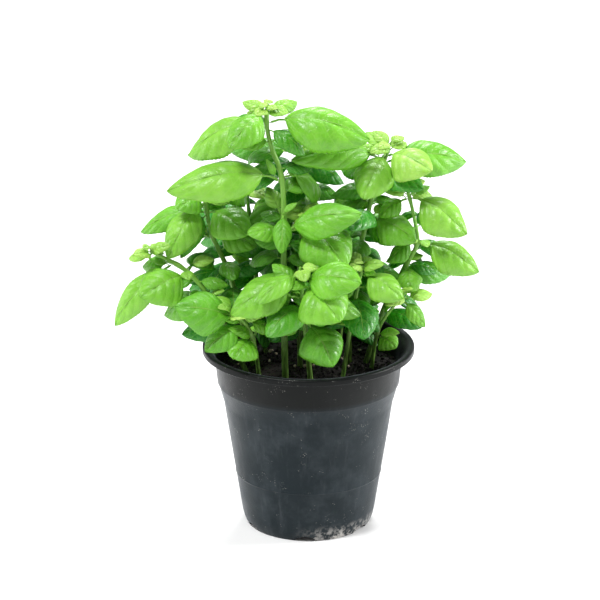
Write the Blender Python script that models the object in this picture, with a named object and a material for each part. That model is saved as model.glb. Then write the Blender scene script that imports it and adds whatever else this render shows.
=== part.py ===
"""Sweet basil growing in a thin plastic nursery pot.

The pot stands on z = 0 with its axis on the Z axis; +X is the plant's right and -Y its front.
Every size below is in millimetres and is turned into metres when a mesh is made.
Each stem is one tapered tube planted in the soil, and each pair of opposite leaves is one solid:
two blades on their petioles, joined by a yoke that clasps the stem at its node.
"""

import itertools
import math
from collections import namedtuple

import bmesh
import bpy
from mathutils import Matrix, Vector
from mathutils.bvhtree import BVHTree

MM = 0.001
GAP = 0.3                       # clearance between touching pieces

# --- pot -------------------------------------------------------------------------------------------
POT_HEIGHT = 115.0
RIM_RADIUS = 65.0
LIP_WIDTH = 4.6                 # flat ring seen from above
LIP_DROP = 4.0                  # height of the turned-down edge
COLLAR_RADIUS = 57.4            # outside, just under the lip
COLLAR_FOOT_RADIUS = 55.7
COLLAR_FOOT_Z = 91.0            # the moulded line round the pot
BODY_TOP_RADIUS = 52.3
BODY_TOP_Z = 80.5
BODY_FOOT_RADIUS = 41.0
BODY_FOOT_Z = 9.0
FOOT_RADIUS = 38.9
WALL = 1.0
BASE_THICKNESS = 1.2
ROUND_SEGMENTS = 48
DRAIN_HOLES = 6                 # arched holes in the corner between the wall and the base
DRAIN_HOLE_WIDTH = 13.0
DRAIN_HOLE_HEIGHT = 3.2
DRAIN_HOLE_DEPTH = 9.0          # how far a hole runs in from the outside of the foot
FIRST_HOLE_TURN = -93.0         # degrees from +X

# --- soil ------------------------------------------------------------------------------------------
SOIL_TOP = 101.0
SOIL_CROWN = 1.5                # rise of the soil in the middle
PLANTING_DEPTH = 6.0

# --- stems and leaves ------------------------------------------------------------------------------
STEM_SIDES = 6
STEM_RINGS = 9
STEM_TAPER = 0.55               # radius at the tip as a share of the radius in the soil
BUD_LENGTH = 2.5
PETIOLE_HALF = 0.8              # half thickness of a petiole
PETIOLE_SHARE = 0.14            # part of a leaf's length that is petiole
BLADE_THICKNESS = 1.0           # at the midrib; the blade thins to nothing at its edge
BLADE_STATIONS = ((0.10, 0.50), (0.34, 1.0), (0.62, 0.88), (0.85, 0.52))   # (share of length, of width)
LIGHT = (0.0, -0.75, 1.0)       # leaves turn their upper side towards the light
BLADE_DOME = 0.16               # how far the edges hang below the midrib, as a share of the width
ARCH = 0.17                     # how far the midrib bows above its chord, as a share of the chord
YOKE_STEP = math.radians(45)    # longest turn between two sections of a yoke
CLEAR_BLADE = 1.0               # extra half thickness that a settling leaf keeps free round itself

Leaf = namedtuple("Leaf", "turn reach rise width")
Pair = namedtuple("Pair", "height first second")
Stem = namedtuple("Stem", "radius points pairs")

# A leaf points turn degrees from +X, seen from above, and its tip lies reach outwards and rise
# upwards from its node.
PLANT = {
    "stem_01": Stem(
        2.1,
        ((-14, -22, 95), (-15, -20, 150), (-15, -18, 193), (-16, -16, 226), (-24, -14, 250), (-25, -12, 267)),
        (
            Pair(193, Leaf(-26, 51, 20, 27), Leaf(-142, 27, 5, 16)),
            Pair(204, Leaf(-93, 24, -17, 14), Leaf(130, 16, 14, 11)),
            Pair(226, Leaf(-165, 72, 0, 33), Leaf(50, 39, -18, 30)),
            Pair(260, Leaf(-11, 64, -5, 38), Leaf(175, 50, -27, 31)),
            Pair(265, Leaf(-128, 36, -12, 25), Leaf(42, 25, 4, 13)),
        ),
    ),
    "stem_02": Stem(
        1.9,
        ((25, 8, 95), (26, 4, 148), (35, 2, 192), (39, 2, 212), (48, 4, 238)),
        (
            Pair(160, Leaf(75, 36, -2, 24), Leaf(-20, 30, 2, 20)),
            Pair(196, Leaf(-30, 34, -9, 27), Leaf(132, 30, 8, 24)),
            Pair(231, Leaf(-160, 60, 9, 25), Leaf(12, 53, -2, 27)),
            Pair(235, Leaf(-116, 34, -18, 29), Leaf(-46, 38, -4, 31)),
        ),
    ),
    "stem_03": Stem(
        1.8,
        ((34, 8, 95), (47, 6, 138), (62, 2, 170), (66, 0, 184), (60, -2, 213)),
        (
            Pair(165, Leaf(-82, 18, -11, 18), Leaf(80, 28, 0, 18)),
            Pair(180, Leaf(-21, 41, -13, 28), Leaf(-156, 20, -9, 14)),
            Pair(209, Leaf(-29, 40, -16, 33), Leaf(-167, 20, -10, 15)),
        ),
    ),
    "stem_04": Stem(
        1.8,
        ((2, -34, 95), (-2, -36, 137), (-5, -40, 176)),
        (
            Pair(142, Leaf(-52, 29, -20, 30), Leaf(-160, 13, -7, 8)),
            Pair(158, Leaf(-15, 37, -7, 22), Leaf(165, 28, -8, 18)),
            Pair(166, Leaf(-51, 37, -12, 36), Leaf(160, 19, 12, 13)),
            Pair(169, Leaf(-161, 46, -15, 29), Leaf(-10, 42, 5, 28)),
            Pair(173, Leaf(-135, 37, -8, 15), Leaf(30, 22, 6, 15)),
        ),
    ),
    "stem_05": Stem(
        1.7,
        ((-5, 2, 95), (-6, 2, 150), (-4, -6, 198)),
        (
            Pair(165, Leaf(140, 37, 0, 28), Leaf(-20, 26, 0, 18)),
            Pair(194, Leaf(-55, 46, -14, 36), Leaf(79, 28, 10, 24)),
        ),
    ),
    "stem_06": Stem(
        1.9,
        ((-33, 5, 95), (-47, 6, 154), (-59, 4, 185), (-63, 2, 210)),
        (
            Pair(183, Leaf(-24, 30, -2, 20), Leaf(163, 24, 2, 17)),
            Pair(199, Leaf(-42, 35, -6, 28), Leaf(180, 42, -12, 18)),
            Pair(204, Leaf(-136, 33, -27, 23), Leaf(60, 26, 2, 18)),
            Pair(208, Leaf(-131, 25, 0, 19), Leaf(30, 14, 10, 9)),
        ),
    ),
    "stem_07": Stem(
        1.8,
        ((-36, -10, 95), (-55, -12, 140), (-70, -14, 163), (-82, -16, 173), (-93, -17, 179)),
        (
            Pair(150, Leaf(165, 30, -14, 22), Leaf(-60, 24, -4, 15)),
            Pair(166, Leaf(-140, 37, -7, 30), Leaf(60, 26, 4, 19)),
            Pair(173, Leaf(-172, 38, -39, 20), Leaf(150, 23, -6, 16)),
        ),
    ),
    "stem_08": Stem(
        1.5,
        ((-29, -28, 95), (-34, -36, 133), (-45, -44, 150)),
        (
            Pair(131, Leaf(-115, 27, -3, 22), Leaf(70, 18, 4, 12)),
            Pair(142, Leaf(-150, 28, -15, 19), Leaf(10, 18, -6, 12)),
            Pair(147, Leaf(-162, 39, 12, 31), Leaf(-20, 16, 4, 9)),
        ),
    ),
    "stem_09": Stem(
        1.5,
        ((20, -20, 95), (26, -20, 137), (32, -24, 172)),
        (
            Pair(136, Leaf(-38, 20, 12, 15), Leaf(150, 20, 2, 13)),
            Pair(168, Leaf(-35, 31, -9, 24), Leaf(-162, 21, -16, 17)),
        ),
    ),
    "stem_10": Stem(
        1.4,
        ((38, -5, 95), (43, -8, 128), (58, -12, 151)),
        (
            Pair(123, Leaf(-53, 19, -2, 15), Leaf(140, 14, 4, 10)),
            Pair(148, Leaf(-22, 17, -16, 12), Leaf(121, 20, -14, 15)),
        ),
    ),
    "stem_11": Stem(
        1.9,
        ((2, 26, 95), (-2, 28, 166), (-6, 24, 234)),
        (
            Pair(158, Leaf(60, 44, -6, 30), Leaf(150, 44, -8, 30)),
            Pair(196, Leaf(100, 42, -8, 30), Leaf(205, 38, -6, 26)),
            Pair(229, Leaf(172, 44, 2, 22), Leaf(20, 40, -4, 25)),
        ),
    ),
    "stem_12": Stem(
        1.8,
        ((18, 30, 95), (24, 36, 151), (28, 40, 197)),
        (
            Pair(150, Leaf(40, 46, -14, 30), Leaf(110, 40, -12, 28)),
            Pair(180, Leaf(0, 38, -4, 28), Leaf(165, 26, 4, 22)),
            Pair(194, Leaf(75, 42, -6, 30), Leaf(-60, 24, 6, 18)),
        ),
    ),
    "stem_13": Stem(
        1.8,
        ((-26, 26, 95), (-33, 36, 151), (-38, 42, 200)),
        (
            Pair(150, Leaf(170, 44, -14, 30), Leaf(100, 42, -14, 28)),
            Pair(186, Leaf(-35, 34, -2, 28), Leaf(150, 44, -10, 30)),
            Pair(198, Leaf(80, 34, -2, 26), Leaf(-125, 26, 4, 20)),
        ),
    ),
    "stem_14": Stem(
        1.6,
        ((-4, 42, 95), (0, 52, 139), (4, 60, 174)),
        (
            Pair(144, Leaf(60, 34, -16, 26), Leaf(150, 36, -14, 26)),
            Pair(171, Leaf(95, 40, -14, 30), Leaf(10, 36, -6, 25)),
        ),
    ),
}

# Steps by which a crowded leaf may swing, lift or shrink until it is clear of its neighbours.
SWINGS = (0, 5, -5, 10, -10, 16, -16, 23, -23, 31, -31)
LIFTS = (0, 3, -3, 6, -6, 10, -10, 15)
SHRINKS = (1.0, 0.9, 0.8, 0.7, 0.6)


def clear_scene():
    for obj in list(bpy.data.objects):
        bpy.data.objects.remove(obj)


def plain_material(name, colour, roughness):
    material = bpy.data.materials.new(name)
    material.use_nodes = True
    shader = material.node_tree.nodes["Principled BSDF"]
    shader.inputs["Base Color"].default_value = (*colour, 1.0)
    shader.inputs["Roughness"].default_value = roughness
    shader.inputs["Metallic"].default_value = 0.0
    material.diffuse_color = (*colour, 1.0)
    return material


def object_from(bm, name, material=None):
    """Turn a bmesh in millimetres into a linked object in metres."""
    bm.transform(Matrix.Scale(MM, 4))
    bmesh.ops.recalc_face_normals(bm, faces=bm.faces)
    mesh = bpy.data.meshes.new(name)
    bm.to_mesh(mesh)
    bm.free()
    obj = bpy.data.objects.new(name, mesh)
    bpy.context.scene.collection.objects.link(obj)
    if material:
        mesh.materials.append(material)
    return obj


def turned(profile):
    """A bmesh spun once round the Z axis from a closed (radius, height) outline."""
    bm = bmesh.new()
    verts = [bm.verts.new((radius, 0.0, height)) for radius, height in profile]
    edges = [bm.edges.new((a, b)) for a, b in zip(verts, verts[1:] + verts[:1]) if a.co.x or b.co.x]
    bmesh.ops.spin(bm, geom=verts + edges, cent=(0, 0, 0), axis=(0, 0, 1), angle=math.tau,
                   steps=ROUND_SEGMENTS, use_merge=True)
    bmesh.ops.remove_doubles(bm, verts=bm.verts, dist=1e-4)
    return bm


def cut(obj, cutter):
    cutter.hide_render = True
    cutter.display_type = "WIRE"
    modifier = obj.modifiers.new(cutter.name, "BOOLEAN")
    modifier.operation = "DIFFERENCE"
    modifier.object = cutter


def build_pot(material):
    top = POT_HEIGHT
    lip_inner = RIM_RADIUS - LIP_WIDTH
    outside = [
        (lip_inner + 1.0, top),
        (RIM_RADIUS - 1.2, top - 0.3),
        (RIM_RADIUS, top - 1.4),
        (RIM_RADIUS, top - LIP_DROP),
        (RIM_RADIUS - WALL, top - LIP_DROP),
        (RIM_RADIUS - WALL, top - 1.9),
        (lip_inner + 1.2, top - 1.4),
        (COLLAR_RADIUS + 0.6, top - 5.5),
        (COLLAR_RADIUS, top - 8.0),
        (COLLAR_FOOT_RADIUS, COLLAR_FOOT_Z),
        (BODY_TOP_RADIUS, BODY_TOP_Z),
        (BODY_FOOT_RADIUS, BODY_FOOT_Z),
        (FOOT_RADIUS + 1.2, 5.0),
        (FOOT_RADIUS, 2.0),
        (FOOT_RADIUS - 1.2, 0.0),
        (0.0, 0.0),
        (0.0, BASE_THICKNESS),
    ]
    inside = [
        (inner_radius(BASE_THICKNESS), BASE_THICKNESS),
        (BODY_FOOT_RADIUS - WALL, BODY_FOOT_Z),
        (BODY_TOP_RADIUS - WALL, BODY_TOP_Z),
        (COLLAR_FOOT_RADIUS - WALL, COLLAR_FOOT_Z),
        (COLLAR_RADIUS - WALL, top - 8.0),
        (COLLAR_RADIUS + 0.6 - WALL, top - 5.5),
        (lip_inner, top - 0.8),
    ]
    pot = object_from(turned(outside + inside), "nursery_pot", material)
    cut(pot, drain_hole_cutter())
    return pot


def inner_radius(z):
    """Inside radius of the pot at a height, along the straight wall between its corners."""
    corners = ((0.0, FOOT_RADIUS - 1.6), (BODY_FOOT_Z, BODY_FOOT_RADIUS - WALL),
               (BODY_TOP_Z, BODY_TOP_RADIUS - WALL), (COLLAR_FOOT_Z, COLLAR_FOOT_RADIUS - WALL),
               (POT_HEIGHT - 8.0, COLLAR_RADIUS - WALL))
    for (z0, r0), (z1, r1) in zip(corners, corners[1:]):
        if z <= z1:
            return r0 + (r1 - r0) * (z - z0) / (z1 - z0)
    return corners[-1][1]


def drain_hole_cutter():
    """Arches that lie on their side and break through the corner of the foot."""
    bm = bmesh.new()
    for number in range(DRAIN_HOLES):
        turn = math.radians(FIRST_HOLE_TURN + 360 * number / DRAIN_HOLES)
        arch = bmesh.ops.create_cone(bm, cap_ends=True, segments=12, radius1=1, radius2=1,
                                     depth=DRAIN_HOLE_DEPTH + 1)["verts"]
        bmesh.ops.scale(bm, verts=arch, vec=(DRAIN_HOLE_HEIGHT, DRAIN_HOLE_WIDTH / 2, 1))
        lay_down = Matrix.Rotation(math.pi / 2, 4, "Y")
        middle = Matrix.Translation((FOOT_RADIUS + 0.5 - DRAIN_HOLE_DEPTH / 2, 0, -0.05))
        bmesh.ops.transform(bm, matrix=Matrix.Rotation(turn, 4, "Z") @ middle @ lay_down, verts=arch)
    return object_from(bm, "drain_holes")


def build_soil(material):
    bottom = BASE_THICKNESS + GAP
    wall = [(inner_radius(z) - GAP, z) for z in (bottom, BODY_FOOT_Z, BODY_TOP_Z, COLLAR_FOOT_Z, SOIL_TOP)]
    crown = [(40.0, SOIL_TOP + SOIL_CROWN * 0.7), (18.0, SOIL_TOP + SOIL_CROWN), (0.0, SOIL_TOP + SOIL_CROWN)]
    soil = object_from(turned([(0.0, bottom)] + wall + crown), "potting_soil", material)
    holes = bmesh.new()
    for stem in PLANT.values():
        rings, _ = stem_rings(stem, spare=1.5 * GAP)
        rings = [[p - Vector((0, 0, GAP)) for p in rings[0]]] + rings[1:3]
        loft(holes, rings, None, None)
    cut(soil, object_from(holes, "planting_holes"))
    return soil


def point_on(points, share):
    """A point on the smooth curve through points; share runs from 0 to 1."""
    spans = len(points) - 1
    span = min(int(share * spans), spans - 1)
    t = share * spans - span
    before, start, end, after = (Vector(points[min(max(span + k, 0), spans)]) for k in (-1, 0, 1, 2))
    return 0.5 * (2 * start + (end - before) * t + (2 * before - 5 * start + 4 * end - after) * t ** 2
                  + (3 * start - before - 3 * end + after) * t ** 3)


def stem_at(stem, height):
    """(axis point, direction, radius) of a stem at a height above the ground."""
    low, high = 0.0, 1.0
    for _ in range(24):
        middle = (low + high) / 2
        if point_on(stem.points, middle).z < height:
            low = middle
        else:
            high = middle
    direction = (point_on(stem.points, min(low + 0.02, 1)) - point_on(stem.points, low - 0.02)).normalized()
    return point_on(stem.points, low), direction, stem.radius * (1 - (1 - STEM_TAPER) * low)


def stem_rings(stem, spare=0.0):
    rings = []
    for number in range(STEM_RINGS):
        share = number / (STEM_RINGS - 1)
        centre = point_on(stem.points, share)
        ahead = point_on(stem.points, min(share + 0.02, 1)) - point_on(stem.points, max(share - 0.02, 0))
        if number == 0:
            ahead = Vector((0, 0, 1))
        turn = Vector((0, 0, 1)).rotation_difference(ahead)
        radius = stem.radius * (1 - (1 - STEM_TAPER) * share) + spare
        corners = (math.tau * k / STEM_SIDES for k in range(STEM_SIDES))
        rings.append([centre + turn @ Vector((math.cos(a), math.sin(a), 0)) * radius for a in corners])
    bud = rings[-1][0].lerp(rings[-1][STEM_SIDES // 2], 0.5) + ahead.normalized() * BUD_LENGTH
    return rings, bud


def lofted(rings, first_tip, last_tip):
    bm = bmesh.new()
    loft(bm, rings, first_tip, last_tip)
    return bm


def loft(bm, rings, first_tip, last_tip):
    """Add a skin over rings of equal count, closed by a flat end or by a fan to a tip.

    Diagonals always start on an even corner of the nearer ring. In a blade those corners are its two
    edges, so its upper and lower skins stay parallel however it curls.
    """
    rows = [[bm.verts.new(p) for p in ring] for ring in rings]
    count = len(rows[0])
    for near, far in zip(rows, rows[1:]):
        for k in range(count):
            a, b, c, d = near[k], near[(k + 1) % count], far[(k + 1) % count], far[k]
            split = ((a, b, c), (a, c, d)) if k % 2 == 0 else ((a, b, d), (b, c, d))
            for corners in split:
                bm.faces.new(corners)
    for row, tip in ((rows[0][::-1], first_tip), (rows[-1], last_tip)):
        if tip is None:
            bm.faces.new(row)
            continue
        point = bm.verts.new(tip)
        for a, b in zip(row, row[1:] + row[:1]):
            bm.faces.new((a, b, point))


def section(centre, side, up, half_width, half_height, drop=0.0):
    """Four corners: one edge, top, other edge, bottom."""
    return [centre - side * half_width - up * drop, centre + up * half_height,
            centre + side * half_width - up * drop, centre - up * half_height]


def root_of(node, leaf):
    """Where a leaf's petiole starts, and the direction it leaves in."""
    centre, along, radius = node
    heading = Vector((math.cos(math.radians(leaf.turn)), math.sin(math.radians(leaf.turn)), 0))
    outwards = (heading - along * heading.dot(along)).normalized()
    yoke_radius = (radius + GAP + PETIOLE_HALF) / math.cos(YOKE_STEP / 2)
    return centre + outwards * yoke_radius, outwards


def leaf_sections(node, leaf, spare=0.0):
    """Sections of one leaf from its petiole's outer end to its last blade station, and its tip."""
    root, outwards = root_of(node, leaf)
    heading = Vector((math.cos(math.radians(leaf.turn)), math.sin(math.radians(leaf.turn)), 0))
    tip = node[0] + heading * leaf.reach + Vector((0, 0, leaf.rise))
    chord = tip - root
    lift = Vector(LIGHT) + outwards * 0.4
    up = (lift - chord * lift.dot(chord) / chord.length_squared).normalized()

    def midrib(share):
        return root + chord * share + up * chord.length * ARCH * math.sin(math.pi * share ** 0.85)

    sections = []
    stations = [(PETIOLE_SHARE, None)]
    stations += [(PETIOLE_SHARE + (1 - PETIOLE_SHARE) * s, w) for s, w in BLADE_STATIONS]
    for share, width in stations:
        centre = midrib(share)
        along = (midrib(min(share + 0.03, 1)) - midrib(share - 0.03)).normalized()
        side = along.cross(up).normalized()
        normal = side.cross(along).normalized()
        if width is None:
            sections.append(section(centre, side, normal, PETIOLE_HALF, PETIOLE_HALF))
        else:
            half = leaf.width / 2 * width
            sections.append(section(centre, side, normal, half + spare, BLADE_THICKNESS / 2 + spare,
                                    2 * half * BLADE_DOME))
    return sections, tip


def yoke_sections(node, first, second):
    """Sections of the clasp that runs round the stem from one petiole to the other."""
    centre, along, _ = node
    start, _ = root_of(node, first)
    end, _ = root_of(node, second)
    a, b = start - centre, end - centre
    angle = a.angle(b)
    sense = 1 if a.cross(b).dot(along) >= 0 else -1
    steps = max(1, math.ceil(angle / YOKE_STEP - 1e-6))
    sections = []
    for number in range(steps + 1):
        spoke = Matrix.Rotation(sense * angle * number / steps, 3, along) @ a
        side = spoke.normalized() * sense
        if number == 0:
            side = (side - side.cross(along) * 0.7).normalized()
        elif number == steps:
            side = (side + side.cross(along) * 0.7).normalized()
        sections.append(section(centre + spoke, side, along, PETIOLE_HALF, PETIOLE_HALF))
    return sections


def pair_mesh(node, first, second):
    blade_a, tip_a = leaf_sections(node, first)
    blade_b, tip_b = leaf_sections(node, second)
    mirrored = [[right, top, left, bottom] for left, top, right, bottom in reversed(blade_a)]
    return lofted(mirrored + yoke_sections(node, first, second) + blade_b, tip_a, tip_b)


class Crowd:
    """What already stands in the plant, for a new leaf to keep clear of."""

    def __init__(self):
        self.pieces = []

    @staticmethod
    def shape(bm):
        bm.verts.ensure_lookup_table()
        points = [v.co.copy() for v in bm.verts]
        tree = BVHTree.FromBMesh(bm)
        low = [min(p[k] for p in points) for k in range(3)]
        high = [max(p[k] for p in points) for k in range(3)]
        bm.free()
        return tree, low, high

    def add(self, bm):
        self.pieces.append(self.shape(bm))

    def touches(self, bm):
        tree, low, high = self.shape(bm)
        for other_tree, other_low, other_high in self.pieces:
            apart = any(low[k] > other_high[k] or high[k] < other_low[k] for k in range(3))
            if not apart and tree.overlap(other_tree):
                return True
        return False


def disturbance(trial):
    swing, lift, size = trial
    return abs(swing) / 10 + abs(lift) / 6 + (1 - size) * 12


def settled(crowd, node, leaf, owner):
    """The leaf, swung, lifted or shrunk as little as clears it of the crowd."""
    trials = sorted(itertools.product(SWINGS, LIFTS, SHRINKS), key=disturbance)
    for spare in (CLEAR_BLADE, CLEAR_BLADE / 2, CLEAR_BLADE / 10):
        for swing, lift, size in trials:
            moved = Leaf(leaf.turn + swing, leaf.reach * size, leaf.rise * size + lift, leaf.width * size)
            blade, tip = leaf_sections(node, moved, spare)
            if not crowd.touches(lofted(blade, None, tip)):
                blade, tip = leaf_sections(node, moved)
                crowd.add(lofted(blade, None, tip))
                return moved
    raise ValueError(f"{owner} has no room")


def pot_and_soil_block():
    """A plain solid that fills the pot, a little larger than the real pieces."""
    return turned([
        (0, 0),
        (BODY_FOOT_RADIUS, 0),
        (RIM_RADIUS + 1, COLLAR_FOOT_Z),
        (RIM_RADIUS + 1, POT_HEIGHT + 1),
        (RIM_RADIUS - LIP_WIDTH - 2, POT_HEIGHT + 1),
        (COLLAR_RADIUS - 3, SOIL_TOP + 2),
        (0, SOIL_TOP + SOIL_CROWN + 1.5),
    ])


def build_plant(stem_material, leaf_material):
    crowd = Crowd()
    crowd.add(pot_and_soil_block())
    pairs = []
    for name, stem in PLANT.items():
        rings, bud = stem_rings(stem)
        crowd.add(lofted(rings, None, bud))
        object_from(lofted(rings, None, bud), name, stem_material)
        for number, pair in enumerate(stem.pairs, 1):
            pairs.append([f"{name}_leaf_pair_{number}", stem_at(stem, pair.height), pair.first, pair.second])
    for entry in pairs:
        entry[2] = settled(crowd, entry[1], entry[2], entry[0])
    for entry in pairs:
        entry[3] = settled(crowd, entry[1], entry[3], entry[0])
    for name, node, first, second in pairs:
        object_from(pair_mesh(node, first, second), name, leaf_material)


def main():
    clear_scene()
    build_pot(plain_material("pot_plastic", (0.03, 0.034, 0.04), 0.5))
    build_soil(plain_material("peat", (0.02, 0.014, 0.01), 0.95))
    stem_green = plain_material("stem_green", (0.35, 0.55, 0.16), 0.5)
    leaf_green = plain_material("leaf_green", (0.16, 0.5, 0.06), 0.45)
    build_plant(stem_green, leaf_green)


main()
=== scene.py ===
# %% [markdown]
# # Sweet basil in a nursery pot
# The plant is a crowd of leaves on a few upright stems, in a thin black plastic pot. The frame holds
# the true place of every stem and of every pair of leaves as a plain solid. This script reads those
# places back and grows a finer leaf, stem, pot and soil where each plain solid stands, so the looks
# and the frame can never drift apart.

import math
import random

import bmesh
import bpy
from mathutils import Matrix, Vector, noise
from mathutils.bvhtree import BVHTree


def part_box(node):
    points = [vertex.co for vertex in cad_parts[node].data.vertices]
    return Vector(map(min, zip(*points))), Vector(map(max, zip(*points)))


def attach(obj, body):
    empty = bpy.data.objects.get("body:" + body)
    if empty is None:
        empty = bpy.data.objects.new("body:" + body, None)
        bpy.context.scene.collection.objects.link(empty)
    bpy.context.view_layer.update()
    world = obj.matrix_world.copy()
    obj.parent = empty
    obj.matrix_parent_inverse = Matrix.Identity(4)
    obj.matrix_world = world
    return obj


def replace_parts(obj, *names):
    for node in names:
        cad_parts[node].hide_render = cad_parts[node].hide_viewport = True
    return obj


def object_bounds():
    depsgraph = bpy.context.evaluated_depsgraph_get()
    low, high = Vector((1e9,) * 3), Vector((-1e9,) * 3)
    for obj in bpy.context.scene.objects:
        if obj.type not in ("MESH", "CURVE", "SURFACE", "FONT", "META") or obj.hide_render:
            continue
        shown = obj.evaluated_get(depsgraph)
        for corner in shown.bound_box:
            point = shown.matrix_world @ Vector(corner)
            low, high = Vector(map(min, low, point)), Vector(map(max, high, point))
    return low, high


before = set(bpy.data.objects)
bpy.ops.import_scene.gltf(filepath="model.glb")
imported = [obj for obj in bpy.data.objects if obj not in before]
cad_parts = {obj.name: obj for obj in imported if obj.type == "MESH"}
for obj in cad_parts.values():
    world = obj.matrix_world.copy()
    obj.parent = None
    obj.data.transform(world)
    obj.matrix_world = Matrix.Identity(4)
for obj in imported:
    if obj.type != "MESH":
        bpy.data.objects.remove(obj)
CAD_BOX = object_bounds()
MM = 0.001
UP = Vector((0, 0, 1))
print("frame box in mm:", [[round(value / MM, 1) for value in corner] for corner in CAD_BOX])

# %% [markdown]
# ## Camera, floor and light
# A small plant is photographed from well back with a long lens, which keeps the pot's sides
# straight. The camera looks down by about nineteen degrees, enough to see over the rim onto the soil.

# %% Camera
CAMERA_TILT = math.radians(19.2)
CAMERA_DISTANCE = 2.2
AIM = Vector((-0.0052, 0.0, 0.14326))
LENS = 216.39
SENSOR = 36.0

lens = bpy.data.cameras.new("camera")
lens.lens = LENS
lens.sensor_width = SENSOR
lens.clip_end = 30.0
camera = bpy.data.objects.new("camera", lens)
camera.location = AIM + Vector((0, -math.cos(CAMERA_TILT), math.sin(CAMERA_TILT))) * CAMERA_DISTANCE
camera.rotation_euler = (math.pi / 2 - CAMERA_TILT, 0, 0)
bpy.context.scene.collection.objects.link(camera)
bpy.context.scene.camera = camera
bpy.context.scene.view_settings.view_transform = "Standard"
print("camera at", [round(value, 3) for value in camera.location])

# %% [markdown]
# A material here is a Principled BSDF with a few nodes in front of it. The small helpers below add a
# node, set its plain sockets and join it, so that each material reads as one short recipe.

# %% Node helpers
class Nodes:
    """Adds and joins nodes in one node tree."""

    def __init__(self, tree):
        self.tree = tree

    def add(self, kind, inputs=None, **settings):
        node = self.tree.nodes.new(kind)
        for name, value in settings.items():
            setattr(node, name, value)
        for key, value in (inputs or {}).items():
            self.feed(node.inputs[key], value)
        return node

    def feed(self, socket, value):
        if isinstance(value, bpy.types.NodeSocket):
            self.tree.links.new(value, socket)
        else:
            socket.default_value = value

    def math(self, operation, *values):
        return self.add("ShaderNodeMath", dict(enumerate(values)), operation=operation).outputs[0]

    def mix(self, factor, first, second, blend="MIX"):
        node = self.add("ShaderNodeMix", data_type="RGBA", blend_type=blend)
        self.feed(node.inputs["Factor"], factor)
        for socket, value in zip([s for s in node.inputs if s.type == "RGBA"], (first, second)):
            self.feed(socket, value)
        return next(s for s in node.outputs if s.type == "RGBA")

    def ramp(self, value, low, high):
        """0 below low, 1 above high, smooth between them."""
        node = self.add("ShaderNodeMapRange", {"Value": value, "From Min": low, "From Max": high},
                        interpolation_type="SMOOTHSTEP")
        return node.outputs["Result"]

    def group(self, tree, inputs):
        node = self.add("ShaderNodeGroup", node_tree=tree)
        for key, value in inputs.items():
            self.feed(node.inputs[key], value)
        return node.outputs

    def noise(self, coordinates, scale, detail=4.0, roughness=0.55):
        inputs = {"Vector": coordinates, "Scale": scale, "Detail": detail, "Roughness": roughness}
        return self.add("ShaderNodeTexNoise", inputs).outputs["Fac"]


def colour(red, green, blue):
    return (red, green, blue, 1.0)


def new_material(name, **sockets):
    """A material with its Principled BSDF set; returns the material, its nodes and the shader."""
    material = bpy.data.materials.new(name)
    material.use_nodes = True
    nodes = Nodes(material.node_tree)
    shader = material.node_tree.nodes["Principled BSDF"]
    for key, value in sockets.items():
        shader.inputs[key.replace("_", " ")].default_value = value
    return material, nodes, shader


def new_group(name, inputs, outputs):
    """A shader node group with named sockets; returns the tree, its nodes and its two ends."""
    tree = bpy.data.node_groups.new(name, "ShaderNodeTree")
    for socket, kind, value in inputs:
        made = tree.interface.new_socket(socket, in_out="INPUT", socket_type="NodeSocket" + kind)
        if value is not None:
            made.default_value = value
    for socket, kind in outputs:
        tree.interface.new_socket(socket, in_out="OUTPUT", socket_type="NodeSocket" + kind)
    nodes = Nodes(tree)
    return tree, nodes, nodes.add("NodeGroupInput").outputs, nodes.add("NodeGroupOutput").inputs


print("node helpers ready")

# %% [markdown]
# The floor is a wide white sheet that keeps the plant's soft shadow. The lamps are large and soft,
# as in a light tent: the strongest stands high at the front left, and the others at the right, the
# left and behind.

# %% Floor, lamps and sky
FLOOR_SIZE = 6.0
FLOOR_WHITE = colour(0.93, 0.93, 0.93)
SKY_STRENGTH = 0.34
LAMP_TARGET = Vector((0, 0, 0.15))
LAMPS = (
    # name, size in metres, power in watts, place
    ("key_lamp", 0.55, 34.0, (-0.7, -0.7, 1.9)),
    ("right_lamp", 0.5, 26.0, (1.5, 0.15, 0.75)),
    ("left_lamp", 0.5, 8.0, (-1.6, 0.3, 0.6)),
    ("back_lamp", 0.7, 24.0, (0.2, 1.1, 1.6)),
)


def plain_floor():
    bm = bmesh.new()
    bmesh.ops.create_grid(bm, x_segments=1, y_segments=1, size=FLOOR_SIZE)
    mesh = bpy.data.meshes.new("floor")
    bm.to_mesh(mesh)
    bm.free()
    floor = bpy.data.objects.new("floor", mesh)
    bpy.context.scene.collection.objects.link(floor)
    material, _, shader = new_material("white_floor", Roughness=0.9, Specular_IOR_Level=0.0)
    shader.inputs["Base Color"].default_value = FLOOR_WHITE
    mesh.materials.append(material)


def soft_lamp(name, size, power, location):
    lamp = bpy.data.lights.new(name, "AREA")
    lamp.shape = "DISK"
    lamp.size = size
    lamp.energy = power
    obj = bpy.data.objects.new(name, lamp)
    obj.location = location
    obj.rotation_euler = (LAMP_TARGET - Vector(location)).to_track_quat("-Z", "Y").to_euler()
    bpy.context.scene.collection.objects.link(obj)


plain_floor()
for lamp_facts in LAMPS:
    soft_lamp(*lamp_facts)
world = bpy.data.worlds.new("light_tent")
world.use_nodes = True
sky = world.node_tree.nodes["Background"].inputs
sky["Color"].default_value = colour(1.0, 1.0, 1.0)
sky["Strength"].default_value = SKY_STRENGTH
bpy.context.scene.world = world
print("floor,", len(LAMPS), "lamps and sky made")

# %% [markdown]
# ## Reading the frame's leaves and stems
# A pair of leaves is one solid skinned over rings of four points, from one leaf's tip, down its
# blade, round the stem, and out to the other tip. Counting edges outwards from a tip therefore gives
# back the rings in order. The same walk down from a stem's bud gives the stem's rings.

# %% Walk the rings
PAIR_RING = 4
STEM_RING = 6


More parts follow.
